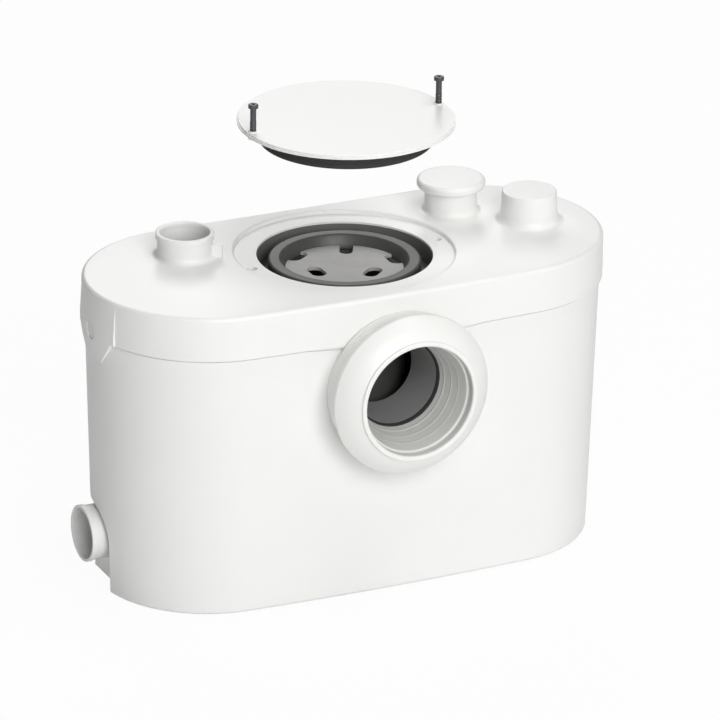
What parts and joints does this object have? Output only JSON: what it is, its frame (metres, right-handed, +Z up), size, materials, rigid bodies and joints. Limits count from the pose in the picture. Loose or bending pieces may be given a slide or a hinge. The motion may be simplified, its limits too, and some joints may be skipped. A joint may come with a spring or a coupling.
{
  "type": "macerator toilet pump",
  "caption": "Low white macerator pump box with a front pan inlet, lifted access cover, lid spigot, vent cap and side inlet, over a motor, basket and pump",
  "frame": {"origin": "centre of the floor under the rubber pads, below the motor axis", "axes": "+X to the right end with the closed boss, +Y to the flat back, the pan inlet faces -Y, +Z up"},
  "size_m": [0.4513, 0.2615, 0.4011],
  "materials": {
    "white_body": "satin gloss moulding",
    "white_fitting": "satin gloss moulding",
    "black_rubber": "matt",
    "grey_plastic": "fine matt",
    "steel": "bright machined",
    "dark_screw": "dark satin",
    "motor_grey": "dark satin",
    "plate_grey": "dull cast",
    "laminated_iron": "varnished",
    "copper": "enamelled wire",
    "black_plastic": "matt",
    "board_green": "satin",
    "filter_felt": "open felt"
  },
  "bodies": {
    "housing": {"tank": "white_body", "lid": "white_body", "screw_plugs": "white_fitting", "pan_flange": "white_fitting", "pan_sleeve": "white_fitting", "side_inlet": "white_fitting", "side_lock_ring": "white_fitting", "feet": "black_rubber", "lid_gasket": "black_rubber", "pan_seal": "black_rubber", "diaphragm": "black_rubber", "shaft_seal": "black_rubber", "pan_collar": "grey_plastic", "valve_body": "grey_plastic", "discharge_pipe": "grey_plastic", "pressure_bell": "grey_plastic", "switch_case": "grey_plastic", "pump_body": "grey_plastic", "pump_cover": "grey_plastic", "basket": "grey_plastic", "cable_gland": "grey_plastic", "gland_nut": "grey_plastic", "electrics_box": "grey_plastic", "lid_screws": "steel", "can_screws": "steel", "pump_screws": "steel", "discharge_pin": "steel", "side_pin": "steel", "upper_bearing": "steel", "lower_bearing": "steel", "motor_can": "motor_grey", "motor_shield": "motor_grey", "end_plate": "plate_grey", "stator": "laminated_iron", "windings": "copper", "microswitch": "black_plastic", "capacitor": "black_plastic", "control_board": "board_green", "vent_filter": "filter_felt"},
    "cover": {"access_cover": "white_body", "cover_seal": "black_rubber"},
    "left_screw": {"cover_screw_left": "dark_screw"},
    "right_screw": {"cover_screw_right": "dark_screw"},
    "motor_rotor": {"motor_shaft": "steel", "rotor": "laminated_iron", "blade": "steel", "impeller": "grey_plastic"},
    "outlet_flap": {"discharge_flap": "black_rubber"},
    "inlet_flap": {"side_flap": "black_rubber"},
    "plunger": {"switch_plunger": "grey_plastic"},
    "vent": {"vent_cap": "white_body"}
  },
  "joints": [
    {"name": "cover_lift", "type": "slide", "parent": "housing", "child": "cover", "axis": [0, 0, 1], "range_m": [-0.1145, 0]},
    {"name": "left_screw_travel", "type": "slide", "parent": "cover", "child": "left_screw", "axis": [0, 0, 1], "range_m": [-0.0194, 0]},
    {"name": "right_screw_travel", "type": "slide", "parent": "cover", "child": "right_screw", "axis": [0, 0, 1], "range_m": [-0.0194, 0]},
    {"name": "rotor_spin", "type": "hinge", "parent": "housing", "child": "motor_rotor", "pos_m": [0, 0, 0.12], "axis": [0, 0, 1], "continuous": true},
    {"name": "outlet_flap_swing", "type": "hinge", "parent": "housing", "child": "outlet_flap", "pos_m": [-0.1065, 0.041, 0.2076], "axis": [0, 1, 0], "range_deg": [0, 65]},
    {"name": "inlet_flap_swing", "type": "hinge", "parent": "housing", "child": "inlet_flap", "pos_m": [-0.1672, 0.014, 0.0711], "axis": [0, -1, 0], "range_deg": [0, 40]},
    {"name": "plunger_travel", "type": "slide", "parent": "housing", "child": "plunger", "axis": [0, 0, 1], "range_m": [0, 0.002], "stiffness_N_per_m": 200},
    {"name": "vent_cap_pull", "type": "slide", "parent": "housing", "child": "vent", "axis": [0, 0, 1], "range_m": [0, 0.03]}
  ]
}
